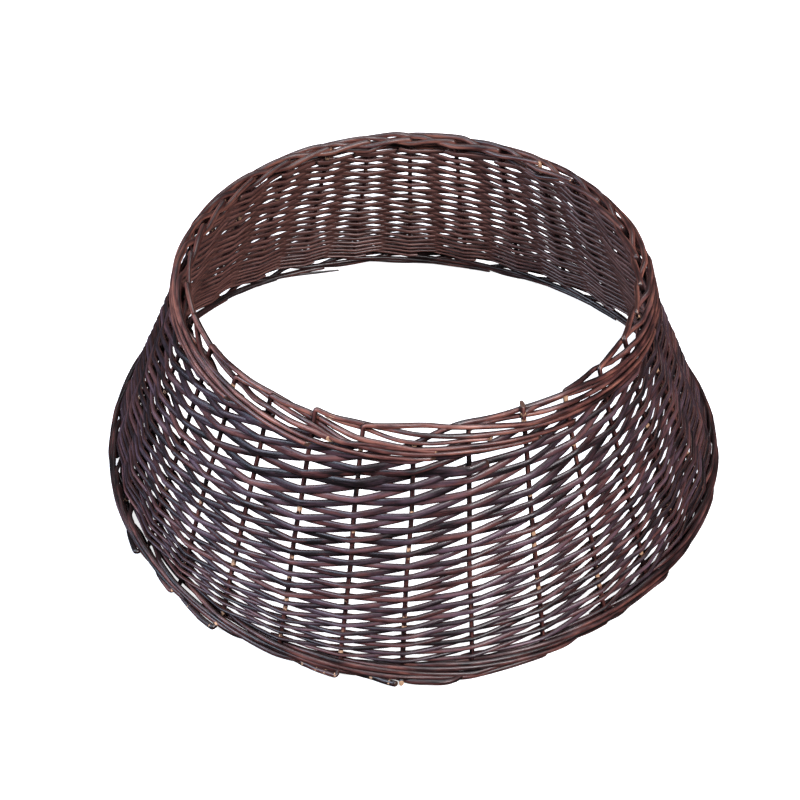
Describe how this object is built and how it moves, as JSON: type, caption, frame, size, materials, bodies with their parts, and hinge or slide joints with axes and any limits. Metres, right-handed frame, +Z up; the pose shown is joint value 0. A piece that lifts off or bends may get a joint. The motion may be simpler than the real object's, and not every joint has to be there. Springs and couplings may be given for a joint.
{
  "type": "christmas tree collar",
  "caption": "Round cone-shaped collar of dark stained woven willow, open at top and bottom, with folded rod borders, to stand round the foot of a Christmas tree.",
  "frame": {"origin": "on the floor plane, at the centre of the collar's outline", "axes": "+Z up through the tree opening, -Y towards the front seen in the picture, +X to the right of it"},
  "size_m": [0.5984, 0.6024, 0.2242],
  "materials": {
    "upright_willow": "satin dark stain",
    "weaver_willow": "satin dark stain"
  },
  "bodies": {
    "root": {"stake_01": "upright_willow", "stake_02": "upright_willow", "stake_03": "upright_willow", "stake_04": "upright_willow", "stake_05": "upright_willow", "stake_06": "upright_willow", "stake_07": "upright_willow", "stake_08": "upright_willow", "stake_09": "upright_willow", "stake_10": "upright_willow", "stake_11": "upright_willow", "stake_12": "upright_willow", "stake_13": "upright_willow", "stake_14": "upright_willow", "stake_15": "upright_willow", "stake_16": "upright_willow", "stake_17": "upright_willow", "stake_18": "upright_willow", "stake_19": "upright_willow", "stake_20": "upright_willow", "stake_21": "upright_willow", "stake_22": "upright_willow", "stake_23": "upright_willow", "stake_24": "upright_willow", "stake_25": "upright_willow", "stake_26": "upright_willow", "stake_27": "upright_willow", "stake_28": "upright_willow", "stake_29": "upright_willow", "stake_30": "upright_willow", "weaver_01": "weaver_willow", "weaver_02": "weaver_willow", "weaver_03": "weaver_willow", "weaver_04": "weaver_willow", "weaver_05": "weaver_willow", "weaver_06": "weaver_willow", "weaver_07": "weaver_willow", "weaver_08": "weaver_willow", "weaver_09": "weaver_willow", "weaver_10": "weaver_willow", "weaver_11": "weaver_willow", "weaver_12": "weaver_willow", "weaver_13": "weaver_willow", "weaver_14": "weaver_willow", "weaver_15": "weaver_willow", "weaver_16": "weaver_willow", "weaver_17": "weaver_willow", "weaver_18": "weaver_willow", "weaver_19": "weaver_willow", "weaver_20": "weaver_willow", "weaver_21": "weaver_willow", "weaver_22": "weaver_willow", "weaver_23": "weaver_willow", "weaver_24": "weaver_willow", "weaver_25": "weaver_willow", "weaver_26": "weaver_willow", "weaver_27": "weaver_willow", "weaver_28": "weaver_willow", "weaver_29": "weaver_willow", "weaver_30": "weaver_willow"}
  },
  "joints": []
}
